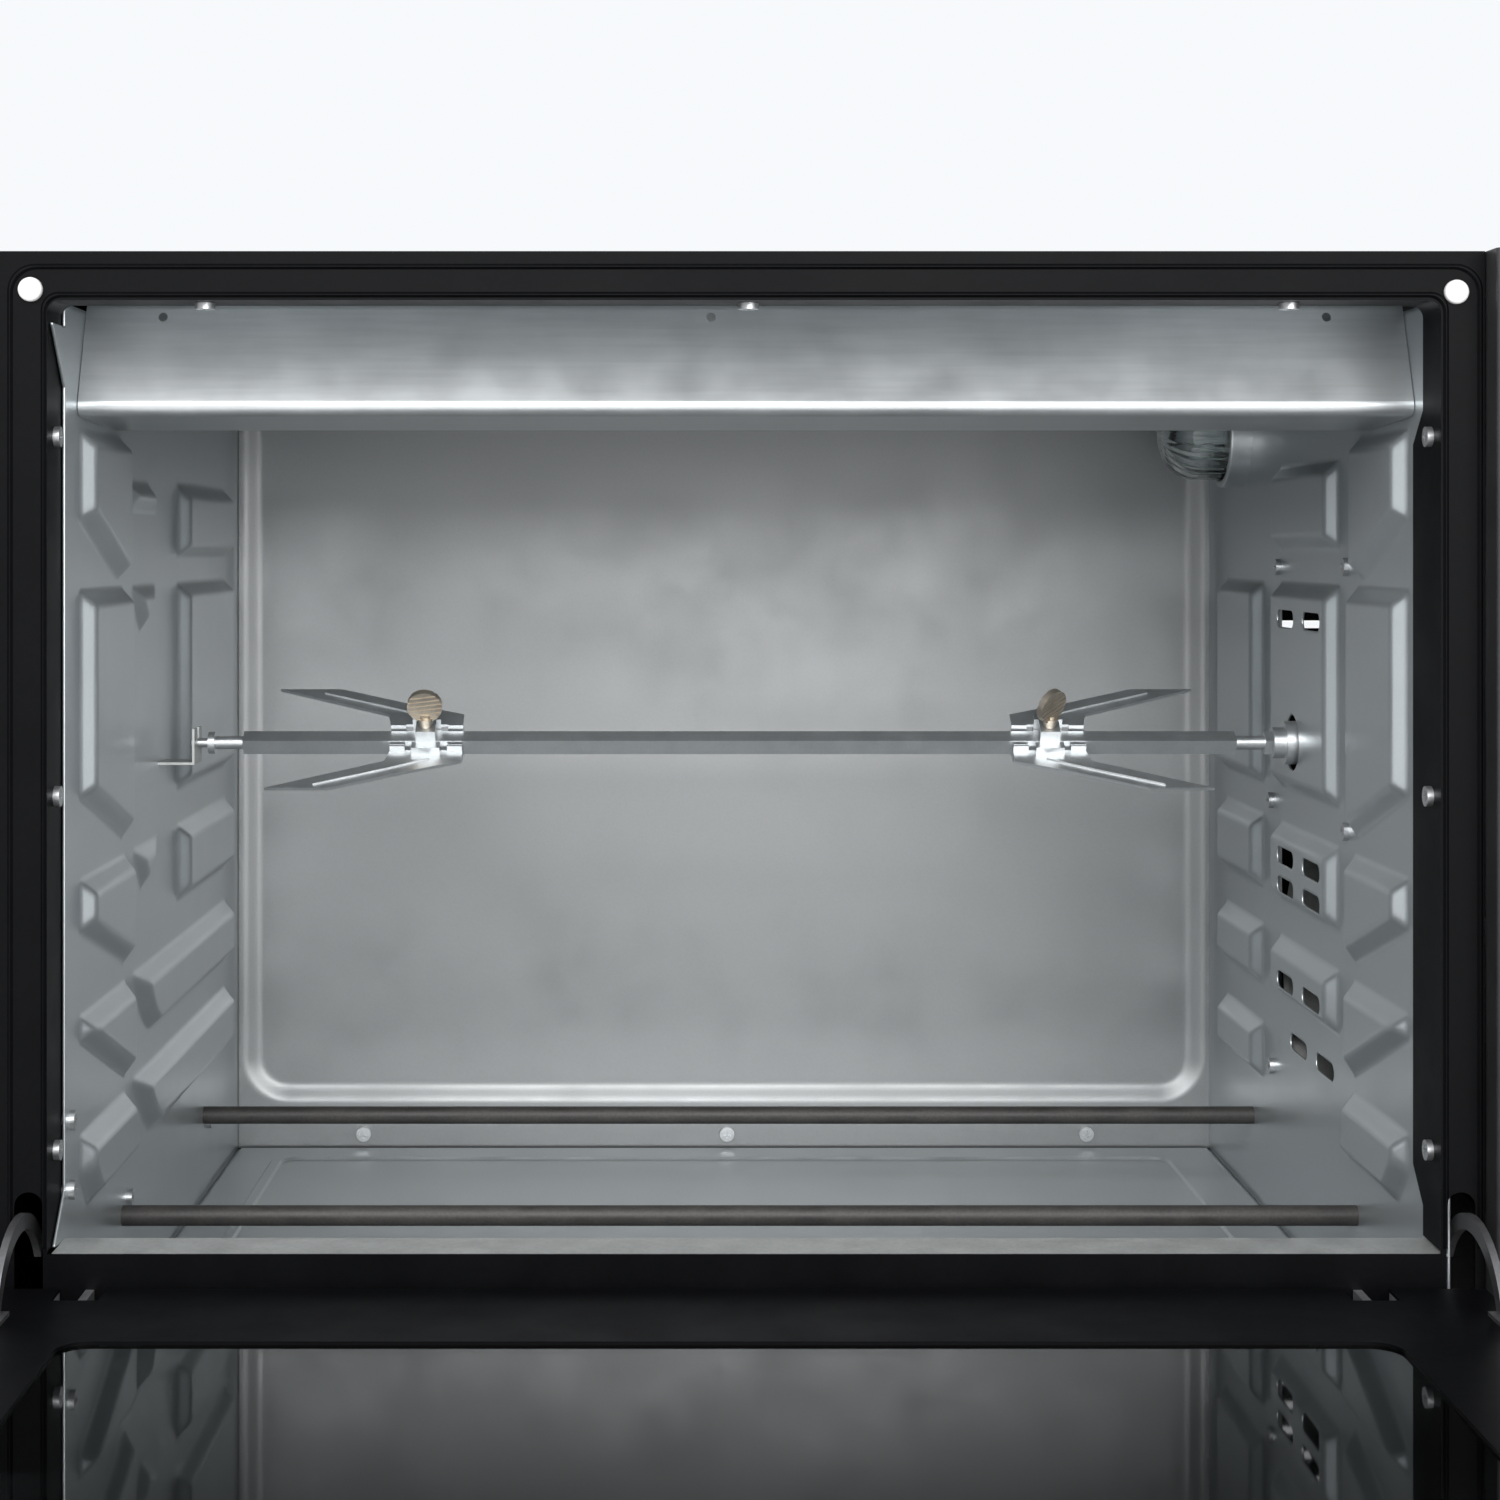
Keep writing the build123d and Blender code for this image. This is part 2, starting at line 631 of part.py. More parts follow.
glass_wall = 2.2
glass_radius = 21.4
glass_straight = 22
glass_length = 39.5
with BuildPart() as lamp_glass:
    with BuildSketch(Plane(origin=(half_width, lamp_y, lamp_z), x_dir=(-1, 0, 0),
                           z_dir=(0, 1, 0))):
        for shrink, mode in ((0, Mode.ADD), (glass_wall, Mode.SUBTRACT)):
            radius = glass_radius - shrink
            with BuildLine():
                base = Line((0, 0), (0, radius))
                side = Line(base @ 1, (glass_straight, radius))
                reach = glass_length - glass_straight - shrink
                dome = EllipticalCenterArc((glass_straight, 0), reach, radius,
                                           start_angle=0, arc_size=90)
                Line(dome @ 0, base @ 0)
            make_face(mode=mode)
    revolve(axis=Axis((half_width, lamp_y, lamp_z), (1, 0, 0)))
save(lamp_glass, "lamp_glass")

with BuildPart() as lamp_holder:
    rod(side_plane(half_width + sheet, lamp_y, lamp_z), 24, 1.5)
    rod(side_plane(half_width - 6, lamp_y, lamp_z), 13, 26)
save(lamp_holder, "lamp_holder")

with BuildPart() as lamp_bulb:
    with BuildSketch(Plane(origin=(half_width - 6, lamp_y, lamp_z), x_dir=(-1, 0, 0),
                           z_dir=(0, 1, 0))):
        with BuildLine():
            Polyline((28, 0), (0, 0), (0, 8), (14, 11.5))
            EllipticalCenterArc((14, 0), 14, 11.5, start_angle=0, arc_size=90)
        make_face()
    revolve(axis=Axis((half_width, lamp_y, lamp_z), (1, 0, 0)))
save(lamp_bulb, "lamp_bulb")

# ---------------------------------------------------------------- convection fan
fan_shaft_radius = 3
with BuildPart() as fan_housing:
    with BuildSketch(side_plane(half_width + sheet, fan_y, fan_z)):
        Circle(56)
        Circle(55, mode=Mode.SUBTRACT)
    extrude(amount=45)
    with BuildSketch(side_plane(half_width + sheet + 45, fan_y, fan_z)):
        Circle(56)
        Circle(8, mode=Mode.SUBTRACT)
    extrude(amount=sheet)
save(fan_housing, "fan_housing")

fan_back = half_width + 2 * sheet + 45
with BuildPart() as fan_motor:
    rod(side_plane(fan_back + 4, fan_y, fan_z), 26, 36)
    rod(side_plane(fan_back, fan_y, fan_z), 14, 4)
    rod(side_plane(fan_back - 1, fan_y, fan_z), fan_shaft_radius + 0.05, 30, mode=Mode.SUBTRACT)
save(fan_motor, "fan_motor")

blade_count = 8
with BuildPart() as fan_blade:
    rod(side_plane(half_width + 12, fan_y, fan_z), 9, 26)
    rod(side_plane(half_width + 14, fan_y, fan_z), fan_shaft_radius, 58)
    with BuildSketch(side_plane(half_width + 34, fan_y, fan_z)):
        Circle(46)
    extrude(amount=sheet)
    with BuildSketch(side_plane(half_width + 14, fan_y, fan_z)):
        with PolarLocations(30, blade_count):
            Rectangle(30, 1.2)
    extrude(amount=20)
save(fan_blade, "fan_blade")

# ---------------------------------------------------------------- control panel
panel_left = 257.2
panel_face = -34
panel_bottom = 30
panel_wall = 2
with BuildPart() as control_panel:
    block(panel_left, shell_right, panel_face, shell_front, panel_bottom, shell_top)
    fillet(control_panel.edges().filter_by(Axis.Z).group_by(Axis.Y)[0], 2)
    block(panel_left + panel_wall, shell_right - panel_wall, panel_face + panel_wall,
          shell_front, panel_bottom + panel_wall, shell_top - panel_wall, mode=Mode.SUBTRACT)
    with BuildSketch(front_plane(shell_front)):
        with Locations(*[(panel_x, z) for z in knob_heights.values()]):
            Circle(4)
        with Locations((panel_x, indicator_z)):
            Circle(4)
    extrude(amount=20, mode=Mode.SUBTRACT)
save(control_panel, "control_panel")

insert_bands = ((408.7, 448.4), (36, 120.8))
with BuildPart() as panel_inserts:
    for z0, z1 in insert_bands:
        block(panel_left + 2, shell_right - 3, panel_face - sheet, panel_face, z0, z1)
save(panel_inserts, "panel_inserts")

with BuildPart() as indicator_lens:
    rod(front_plane(panel_face + panel_wall, panel_x, indicator_z), 4, 2)
    rod(front_plane(panel_face, panel_x, indicator_z), 5, 2)
    fillet(indicator_lens.edges().group_by(Axis.Y)[0], 1)
save(indicator_lens, "indicator_lens")

knob_radius, skirt_radius = 15, 19
shaft_inner = 15
switch_names = {"temperature": "thermostat", "function": "function_switch",
                "timer": "timer_unit"}
switch_sizes = {"temperature": (44, 34), "function": (36, 36), "timer": (52, 52)}
for name, height in knob_heights.items():
    with BuildPart() as knob:
        rod(front_plane(panel_face - 1.2, panel_x, height), skirt_radius, 4)
        with BuildSketch(front_plane(panel_face - 5.2, panel_x, height)):
            Circle(knob_radius)
        extrude(amount=14, taper=4)
        with BuildSketch(front_plane(panel_face - 5.2, panel_x, height)):
            SlotOverall(34, 9, rotation=90)
        extrude(amount=16)
        fillet(knob.edges().group_by(Axis.Y)[0], 1.5)
        rod(front_plane(-shaft_inner, panel_x, height), 3, -panel_face - shaft_inner + 4)
    save(knob, f"{name}_knob")
    with BuildPart() as switch:
        wide, high = switch_sizes[name]
        block(panel_x - wide / 2, panel_x + wide / 2, panel_face + panel_wall, -6,
              height - high / 2, height + high / 2)
        rod(front_plane(-14, panel_x, height), 3.05, 20, mode=Mode.SUBTRACT)
    save(switch, switch_names[name])

# ---------------------------------------------------------------- door, drawn lying open
door_edge = -32              # the door's bottom edge, nearest the frame
door_top_edge = -door_reach
door_centre_x = (door_left + door_right) / 2
door_centre_y = (door_edge + door_top_edge) / 2
glass_sheet = 4
door_wall = 1.5
skin_z = door_inner_face - 1.2
bracket_xs = (-230, 212)
notch_half = 8
bush_spans = ((-22, -notch_half), (notch_half, 22))
pin_hinge_radius = 2.3
window = (430, 250)

with BuildPart() as door_outer_glass:
    block(door_left, door_right, door_top_edge, door_edge, door_outer_face,
          door_outer_face + glass_sheet)
    chamfer(door_outer_glass.faces().sort_by(Axis.Z)[0].edges(), 1)
save(door_outer_glass, "door_outer_glass")

with BuildPart() as door_screws:
    for x in (door_left + 10, door_right - 10):
        for y in (-378, -218, -95):
            pan_screw(Plane(origin=(x, y, door_inner_face)), head_height=1.3, shank=1.2)
save(door_screws, "door_screws")

with BuildPart() as door_frame:
    rim_z = door_outer_face + glass_sheet
    block(door_left, door_right, door_top_edge, door_edge, rim_z, door_inner_face)
    fillet(door_frame.faces().sort_by(Axis.Z)[-1].edges(), 1.1)
    block(door_left + door_wall, door_right - door_wall, door_top_edge + door_wall,
          door_edge - door_wall, rim_z, skin_z, mode=Mode.SUBTRACT)
    with BuildSketch(Plane.XY.offset(skin_z - 1)):
        with Locations((door_centre_x, door_centre_y)):
            RectangleRounded(*window, 10)
    extrude(amount=4, mode=Mode.SUBTRACT)
    for x in bracket_xs:
        block(x - notch_half, x + notch_half, -47, door_edge + 2, rim_z + 2,
              door_inner_face + 1, mode=Mode.SUBTRACT)
    add(door_screws.part, mode=Mode.SUBTRACT)
save(door_frame, "door_frame")

with BuildPart() as door_inner_glass:
    block(door_centre_x - window[0] / 2 - 12, door_centre_x + window[0] / 2 + 12,
          door_centre_y - window[1] / 2 - 12, door_centre_y + window[1] / 2 + 12,
          skin_z - glass_sheet, skin_z)
save(door_inner_glass, "door_inner_glass")

with BuildPart() as door_side_rails:
    for x0, x1 in ((door_left + door_wall, -252.5), (234.5, door_right - door_wall)):
        block(x0, x1, door_top_edge + 12, door_edge - 18, rim_z, skin_z)
save(door_side_rails, "door_side_rails")

with BuildPart() as door_hinge_bushes:
    for x in bracket_xs:
        for x0, x1 in bush_spans:
            block(x + x0, x + x1, hinge_y - 9, door_edge - door_wall, 76, skin_z)
    rod(side_plane(-260, hinge_y, hinge_z), pin_hinge_radius + 0.05, 520,
        mode=Mode.SUBTRACT)
save(door_hinge_bushes, "door_hinge_bushes")

hinge_knuckle = 8
with BuildPart() as hinge_brackets:
    for x in bracket_xs:
        knuckle = side_plane(x - 1.5, hinge_y, hinge_z)
        rod(knuckle, hinge_knuckle, 3)
        block(x - 1.5, x + 1.5, hinge_y, frame_face, hinge_z - hinge_knuckle,
              hinge_z + hinge_knuckle)
        rod(knuckle, pin_hinge_radius, 3, mode=Mode.SUBTRACT)
save(hinge_brackets, "hinge_brackets")

with BuildPart() as hinge_pins:
    for x in bracket_xs:
        rod(side_plane(x - 20, hinge_y, hinge_z), pin_hinge_radius, 40)
save(hinge_pins, "hinge_pins")

# Curved arms run through the frame's slots, about the hinge axis, and guide the door.
arm_radius, arm_depth, arm_sheet = 34.5, 5.5, 2.5
arm_start, arm_end = 20, 150          # degrees up from the open door
with BuildPart() as door_hinge_arms:
    for x in slot_centres:
        arm_plane = side_plane(x - arm_sheet / 2, hinge_y, hinge_z)
        with BuildSketch(arm_plane):
            with BuildLine():
                CenterArc((0, 0), arm_radius, 180 - arm_end, arm_end - arm_start)
            trace(line_width=arm_depth)
        extrude(amount=arm_sheet)
        foot_y = hinge_y - arm_radius
        block(x - 4, x + 4, foot_y - 14, foot_y + 6, door_inner_face, door_inner_face + 1.4)
        block(x - 20, x + 20, foot_y - 40, door_edge, door_inner_face - 60, door_inner_face,
              mode=Mode.SUBTRACT)
save(door_hinge_arms, "door_hinge_arms")

handle_y, handle_z, handle_radius = -372, 38, 8
post_xs = (door_centre_x - 200, door_centre_x + 200)
with BuildPart() as door_handle:
    rod(side_plane(post_xs[0] - 24, handle_y, handle_z), handle_radius, 448)
    fillet(door_handle.edges(), 2)
save(door_handle, "door_handle")

with BuildPart() as handle_posts:
    for x in post_xs:
        with BuildSketch(Plane.XY.offset(handle_z)):
            with Locations((x, handle_y)):
                RectangleRounded(16, 12, 4)
        extrude(amount=door_outer_face - handle_z)
    rod(side_plane(post_xs[0] - 24, handle_y, handle_z), handle_radius, 448,
        mode=Mode.SUBTRACT)
save(handle_posts, "handle_posts")
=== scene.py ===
"""Looks for the rotisserie oven: embossed sheet steel, ribbed lamp glass, studio and camera."""

import json
from math import cos, pi, radians, sin

import bmesh
import bpy
import numpy as np
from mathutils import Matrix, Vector


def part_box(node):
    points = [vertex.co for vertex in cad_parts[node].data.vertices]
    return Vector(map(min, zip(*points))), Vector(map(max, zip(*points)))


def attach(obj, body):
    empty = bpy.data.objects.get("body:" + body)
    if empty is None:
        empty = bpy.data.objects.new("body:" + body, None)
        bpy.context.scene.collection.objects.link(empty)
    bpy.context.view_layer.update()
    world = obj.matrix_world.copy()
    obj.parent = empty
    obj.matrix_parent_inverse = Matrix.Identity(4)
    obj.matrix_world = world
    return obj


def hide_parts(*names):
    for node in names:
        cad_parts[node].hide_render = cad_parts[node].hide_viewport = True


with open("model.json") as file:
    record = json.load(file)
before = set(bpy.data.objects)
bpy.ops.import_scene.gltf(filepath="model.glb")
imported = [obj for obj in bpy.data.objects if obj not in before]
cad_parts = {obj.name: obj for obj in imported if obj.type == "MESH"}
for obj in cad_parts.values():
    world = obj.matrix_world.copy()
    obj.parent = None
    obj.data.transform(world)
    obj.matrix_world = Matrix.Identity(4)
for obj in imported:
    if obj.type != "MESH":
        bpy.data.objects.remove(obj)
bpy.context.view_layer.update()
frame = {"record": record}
mm = 0.001

# ---------------------------------------------------------------- places, from the frame
wall_left, wall_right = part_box("left_wall"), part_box("right_wall")
spit_box, lamp_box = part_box("spit_rod"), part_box("lamp_ring")
sheet = 1.0 * mm
cavity_depth = 380 * mm
cavity_left = wall_left[0][0] + sheet
cavity_right = wall_right[1][0] - sheet
cavity_back = wall_left[1][1]
cavity_front = cavity_back - cavity_depth
cavity_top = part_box("ceiling_panel")[0][2]
cavity_floor = wall_left[0][2] + sheet
cavity_middle = (cavity_left + cavity_right) / 2
cavity_width = cavity_right - cavity_left
spit_y, spit_z = ((spit_box[0][i] + spit_box[1][i]) / 2 for i in (1, 2))
lamp_y, lamp_z = ((lamp_box[0][i] + lamp_box[1][i]) / 2 for i in (1, 2))

# ---------------------------------------------------------------- materials
class Nodes:
    """A small writer for one node material."""

    def __init__(self, name):
        self.material = bpy.data.materials.new(name)
        self.material.use_nodes = True
        self.tree = self.material.node_tree
        self.tree.nodes.clear()
        self.output = self.add("ShaderNodeOutputMaterial")
        self.shader = self.add("ShaderNodeBsdfPrincipled")
        self.link(self.shader, "BSDF", self.output, "Surface")
        self.place = self.add("ShaderNodeTexCoord")

    def add(self, kind, **settings):
        node = self.tree.nodes.new(kind)
        for key, value in settings.items():
            setattr(node, key, value)
        return node

    def link(self, source, output, target, socket):
        self.tree.links.new(source.outputs[output], target.inputs[socket])

    def set(self, **values):
        for key, value in values.items():
            self.shader.inputs[key.replace("_", " ")].default_value = value

    def mapped(self, stretch):
        mapping = self.add("ShaderNodeMapping")
        mapping.inputs["Scale"].default_value = stretch
        self.link(self.place, "Object", mapping, "Vector")
        return mapping

    def noise(self, scale, detail=3.0, stretch=(1, 1, 1), roughness=0.55):
        texture = self.add("ShaderNodeTexNoise")
        texture.inputs["Scale"].default_value = scale
        texture.inputs["Detail"].default_value = detail
        texture.inputs["Roughness"].default_value = roughness
        self.link(self.mapped(stretch), "Vector", texture, "Vector")
        return texture

    def ramp(self, source, low, high, stops=(0.3, 0.7), output="Fac"):
        """A two-colour or two-value ramp driven by a texture."""
        node = self.add("ShaderNodeValToRGB")
        for element, stop, value in zip(node.color_ramp.elements, stops, (low, high)):
            element.position = stop
            element.color = value if len(value) == 4 else (*value, 1)
        self.link(source, output, node, "Fac")
        return node

    def roughness(self, source, low, high):
        node = self.add("ShaderNodeMapRange")
        node.inputs["From Min"].default_value = 0.3
        node.inputs["From Max"].default_value = 0.7
        node.inputs["To Min"].default_value = low
        node.inputs["To Max"].default_value = high
        self.link(source, "Fac", node, "Value")
        self.link(node, "Result", self.shader, "Roughness")

    def bump(self, layers):
        """Chained bumps: (texture, height in metres, strength)."""
        previous = None
        for texture, height, strength in layers:
            node = self.add("ShaderNodeBump")
            node.inputs["Strength"].default_value = strength
            node.inputs["Distance"].default_value = height
            self.link(texture, "Fac" if "Fac" in texture.outputs else "Color", node, "Height")
            if previous:
                self.link(previous, "Normal", node, "Normal")
            previous = node
        self.link(previous, "Normal", self.shader, "Normal")


def shade(colour, factor):
    return tuple(min(1.0, c * factor) for c in colour)


def surface(name, colour, metallic, rough, variation=0.12, mottle=60, grain=900,
            grain_height=0.02 * mm, stretch=(1, 1, 1), **sockets):
    """A worked surface: slow mottling and fine grain in the colour, roughness that follows the
    mottling, and bump from the grain.
    """
    nodes = Nodes(name)
    slow = nodes.noise(mottle, 4)
    fine = nodes.noise(grain, 2, stretch)
    colours = nodes.ramp(slow, shade(colour, 1 - variation), shade(colour, 1 + variation))
    speckle = nodes.ramp(fine, (1 - variation,) * 3, (1, 1, 1), (0.35, 0.6))
    mix = nodes.add("ShaderNodeMix", data_type="RGBA", blend_type="MULTIPLY")
    mix.inputs["Factor"].default_value = 1.0
    nodes.link(colours, "Color", mix, 6)
    nodes.link(speckle, "Color", mix, 7)
    nodes.link(mix, 2, nodes.shader, "Base Color")
    nodes.roughness(slow, rough * 0.88, rough * 1.12)
    nodes.bump([(fine, grain_height, 0.5)])
    nodes.set(Metallic=metallic, **sockets)
    return nodes.material


def glass(name, tint, rough, alpha_like=1.0):
    nodes = Nodes(name)
    smear = nodes.noise(40, 3)
    tone = nodes.ramp(smear, shade(tint, 0.96), tint)
    nodes.link(tone, "Color", nodes.shader, "Base Color")
    nodes.roughness(smear, rough, rough * 1.6)
    nodes.set(IOR=1.48, Transmission_Weight=alpha_like)
    return nodes.material


finishes = {
    "cavity_steel": surface("cavity_steel", (0.50, 0.535, 0.55), 0.8, 0.32, 0.03, 45, 900,
                            0.015 * mm),
    "floor_steel": surface("floor_steel", (0.42, 0.45, 0.46), 0.75, 0.42, 0.05, 45, 900,
                           0.015 * mm),
    # painted shade: the cavity steel darkened for the back wall, which gets less light
    "shaded_back_steel": surface("shaded_back_steel", (0.28, 0.287, 0.29), 0.75, 0.44, 0.03, 25, 900,
                          0.03 * mm),
    "baffle_steel": surface("baffle_steel", (0.46, 0.48, 0.49), 0.8, 0.38, 0.06, 40, 500,
                            0.012 * mm, (0.05, 1, 1)),
    "galvanised": surface("galvanised", (0.46, 0.47, 0.46), 0.7, 0.48, 0.10, 90, 600),
    "black_enamel": surface("black_enamel", (0.002, 0.0021, 0.0025), 0.0, 0.45, 0.2, 30, 500,
                            0.02 * mm, Specular_IOR_Level=0.05),
    "arm_steel": surface("arm_steel", (0.16, 0.16, 0.165), 0.85, 0.38, 0.1, 200),
    "element_sheath": surface("element_sheath", (0.045, 0.042, 0.04), 0.25, 0.55, 0.25, 70,
                              900, 0.03 * mm),
    "ceramic_bush": surface("ceramic_bush", (0.8, 0.78, 0.72), 0.0, 0.6, 0.05),
    "screw_steel": surface("screw_steel", (0.55, 0.56, 0.57), 0.9, 0.34, 0.1, 300),
    "spit_chrome": surface("spit_chrome", (0.60, 0.62, 0.63), 0.9, 0.36, 0.05, 120, 1200,
                           0.006 * mm),
    "nickel": surface("nickel", (0.56, 0.50, 0.42), 0.9, 0.36, 0.10, 200),
    "handle_steel": surface("handle_steel", (0.6, 0.6, 0.6), 0.9, 0.3, 0.06, 50, 800,
                            0.01 * mm, (0.04, 1, 1)),
    "black_plastic": surface("black_plastic", (0.02, 0.02, 0.021), 0.0, 0.42, 0.1, 60, 1600,
                             0.05 * mm),
    "white_bumper": surface("white_bumper", (0.52, 0.52, 0.51), 0.0, 0.5, 0.05, 300),
    "foot_rubber": surface("foot_rubber", (0.03, 0.03, 0.03), 0.0, 0.7, 0.1, 100),
    "motor_steel": surface("motor_steel", (0.5, 0.51, 0.52), 0.8, 0.45, 0.08, 100),
    "lamp_glass": glass("lamp_glass", (0.93, 0.97, 0.97), 0.04),
    "door_glass": glass("door_glass", (0.10, 0.11, 0.11), 0.02),
    "amber_lens": glass("amber_lens", (0.9, 0.35, 0.04), 0.1, 0.6),
}

record = frame["record"]
slot_of = {row["node"]: row["material_slot"] for row in record["subparts"]}


def node_object(name):
    return bpy.data.objects[name]


for node_name in slot_of:
    look = {"floor_pan": "floor_steel", "crumb_tray": "floor_steel"}.get(node_name,
                                                                        slot_of[node_name])
    for material_slot in node_object(node_name).material_slots:
        material_slot.material = finishes[look]


def finish(piece, slot_name, body="root", stands_for=(), look=None):
    """Give a new piece its material and its body, and hide the nodes that it stands for."""
    piece.data.materials.clear()
    piece.data.materials.append(finishes[look or slot_name])
    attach(piece, body)
    if stands_for:
        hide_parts(*stands_for)


def mesh_object(name, verts, faces, smooth=True):
    mesh = bpy.data.meshes.new(name)
    mesh.from_pydata([tuple(v) for v in verts], [], faces)
    mesh.update()
    piece = bpy.data.objects.new(name, mesh)
    bpy.context.scene.collection.objects.link(piece)
    if smooth:
        mesh.polygons.foreach_set("use_smooth", [True] * len(mesh.polygons))
    return piece


def apply_modifiers(piece):
    depsgraph = bpy.context.evaluated_depsgraph_get()
    mesh = bpy.data.meshes.new_from_object(piece.evaluated_get(depsgraph))
    old = piece.data
    piece.modifiers.clear()
    piece.data = mesh
    bpy.data.meshes.remove(old)


# ---------------------------------------------------------------- pressed sheets
def polygon_inset(points, u, v):
    """How far (u, v) lies inside a convex or nearly convex outline, negative outside."""
    points = np.array(points, dtype=float)
    area = sum(a[0] * b[1] - b[0] * a[1] for a, b in zip(points, np.roll(points, -1, 0)))
    if area < 0:
        points = points[::-1]
    inset = np.full(u.shape, 1e9)
    for a, b in zip(points, np.roll(points, -1, 0)):
        edge = b - a
        length = np.hypot(*edge)
        distance = (edge[0] * (v - a[1]) - edge[1] * (u - a[0])) / length
        inset = soft_min(inset, distance)
    return inset


def soft_min(a, b, blend=2.2):
    """The smaller of two distances, rounded where they cross."""
    h = np.clip(0.5 + 0.5 * (b - a) / blend, 0, 1)
    return b + (a - b) * h - blend * h * (1 - h)


def soft_step(t, bend):
    """t above zero and nothing below, rounded over a short bend."""
    inside = np.clip(t, -bend, bend)
    return np.where(t > bend, t, (inside + bend) ** 2 / (4 * bend))


def press(inset, depth, ramp):
    """Height of a pressing with a smooth foot and shoulder."""
    t = inset / ramp
    return depth * (soft_step(t, 0.1) - soft_step(t - 1, 0.1))


def pressed_sheet(name, u_range, v_range, step, height, corner, u_axis, v_axis, normal,
                  thickness=0.9):
    """A thin sheet whose face follows height(u, v), all in mm from a corner point."""
    us = np.arange(u_range[0], u_range[1] + step / 2, step)
    vs = np.arange(v_range[0], v_range[1] + step / 2, step)
    us[-1], vs[-1] = u_range[1], v_range[1]
    u, v = np.meshgrid(us, vs, indexing="ij")
    h = height(u, v)
    corner, u_axis, v_axis, normal = map(np.array, (corner, u_axis, v_axis, normal))
    front = (corner + mm * (u[..., None] * u_axis + v[..., None] * v_axis
                            + h[..., None] * normal)).reshape(-1, 3)
    back = front - mm * thickness * normal
    nu, nv = u.shape
    count = nu * nv
    flip = np.dot(np.cross(u_axis, v_axis), normal) < 0
    index = np.arange(count).reshape(nu, nv)
    a, b = index[:-1, :-1].ravel(), index[1:, :-1].ravel()
    c, d = index[1:, 1:].ravel(), index[:-1, 1:].ravel()
    quads = np.stack([a, b, c, d], 1)
    if flip:
        quads = quads[:, ::-1]
    faces = np.concatenate([quads, quads[:, ::-1] + count])
    rim = np.concatenate([index[:, 0], index[-1, 1:], index[-2::-1, -1], index[0, -2:0:-1]])
    ahead = np.roll(rim, -1)
    sides = np.stack([rim, rim + count, ahead + count, ahead], 1)
    if flip:
        sides = sides[:, ::-1]
    faces = np.concatenate([faces, sides])
    return mesh_object(name, np.concatenate([front, back]), faces.tolist())


emboss_depth = 5.9
emboss_ramp = 5.5
nib_depth = 3.9
nib_ramp = 5
recess_depth = 3.4
recess_ramp = 7
recess_side, recess_foot, recess_head = 3.5, 23, 6    # margins round the back wall's recess
recess_corner = 22
left_reach, right_reach = 19, 21                      # how far the side walls run forward
sheet_foot = -1                                       # every sheet's lower edge


def front_column(front):
    """Lead-in panels beside the mouth, as (depth, height above the floor) outlines."""
    return [
        [(front, 344), (front, 311), (88, 288), (96, 290), (96, 344)],
        [(front, 285), (front, 209), (100, 186), (100, 285)],
        [(front, 179), (front, 160), (103, 136), (103, 179)],
        [(front, 129), (front, 120), (104, 91), (104, 129)],
        [(front, 85), (front, 72), (front + 14, 58), (112, 58), (104, 85)],
    ]


def panel_column(y0, y1, rows):
    """Rectangular panels one above the other between two depths."""
    return [[(y0, z0), (y1, z0), (y1, z1), (y0, z1)] for z0, z1 in rows]


left_panels = front_column(22) + panel_column(214, 340, [(296, 328), (195, 285), (146, 179)]) + [
    [(117, 129), (136, 108), (150, 101), (340, 101), (340, 129)],
    [(117, 87), (138, 66), (152, 59), (340, 59), (340, 87)],
]
left_nibs = [
    [(103, 327), (112, 315.5), (170, 315.5), (152, 327)],
    [(115, 285), (133, 266), (169, 285)],
    [(118, 179), (135, 161), (174, 179)],
]
right_panels = (
    front_column(26)
    + panel_column(125, 228, [(300, 336), (195.7, 285), (145.5, 179), (103.6, 129)])
    + panel_column(259, 340, [(194, 285), (146, 179), (102, 129), (59, 84)])
)


def wall_height(panels, nibs=()):
    """The relief of a side wall as a function of depth and height."""
    def height(y, z):
        raised = np.zeros_like(y)
        for outline in panels:
            raised = np.maximum(raised, press(polygon_inset(outline, y, z), emboss_depth,
                                              emboss_ramp))
        for outline in nibs:
            raised = np.maximum(raised, press(polygon_inset(outline, y, z), nib_depth,
                                              nib_ramp))
        return raised
    return height


def cut(piece, cutter):
    """Take one closed mesh out of another."""
    modifier = piece.modifiers.new("cut", "BOOLEAN")
    modifier.operation = "DIFFERENCE"
    modifier.solver = "MANIFOLD"
    modifier.object = cutter
    apply_modifiers(piece)
    bpy.data.objects.remove(cutter)
    piece.data.polygons.foreach_set("use_smooth", [True] * len(piece.data.polygons))


def rods(name, spots, profile, x0, x1):
    """Straight cutters along X with a closed (y, z) profile round each spot."""
    verts, faces = [], []
    n = len(profile)
    for y, z in spots:
        start = len(verts)
        for x in (x0, x1):
            verts += [(x, cavity_front + mm * (y + p), cavity_floor + mm * (z + q))
                      for p, q in profile]
        faces += [[start + i, start + (i + 1) % n, start + n + (i + 1) % n, start + n + i]
                  for i in range(n)]
        faces += [[start + i for i in reversed(range(n))], [start + n + i for i in range(n)]]
    return mesh_object(name, verts, faces)


def slot_profile(length, width, segments=10):
    """A round-ended slot, lengthwise along the first axis."""
    half, radius = (length - width) / 2, width / 2
    arcs = [(side * half + radius * cos(a), radius * sin(a))
            for side, first in ((1, -pi / 2), (-1, pi / 2))
            for a in (first + pi * i / segments for i in range(segments + 1))]
    return arcs


def circle_profile(radius, segments=48):
    """A round hole's outline."""
    return [(radius * cos(2 * pi * i / segments), radius * sin(2 * pi * i / segments))
            for i in range(segments)]


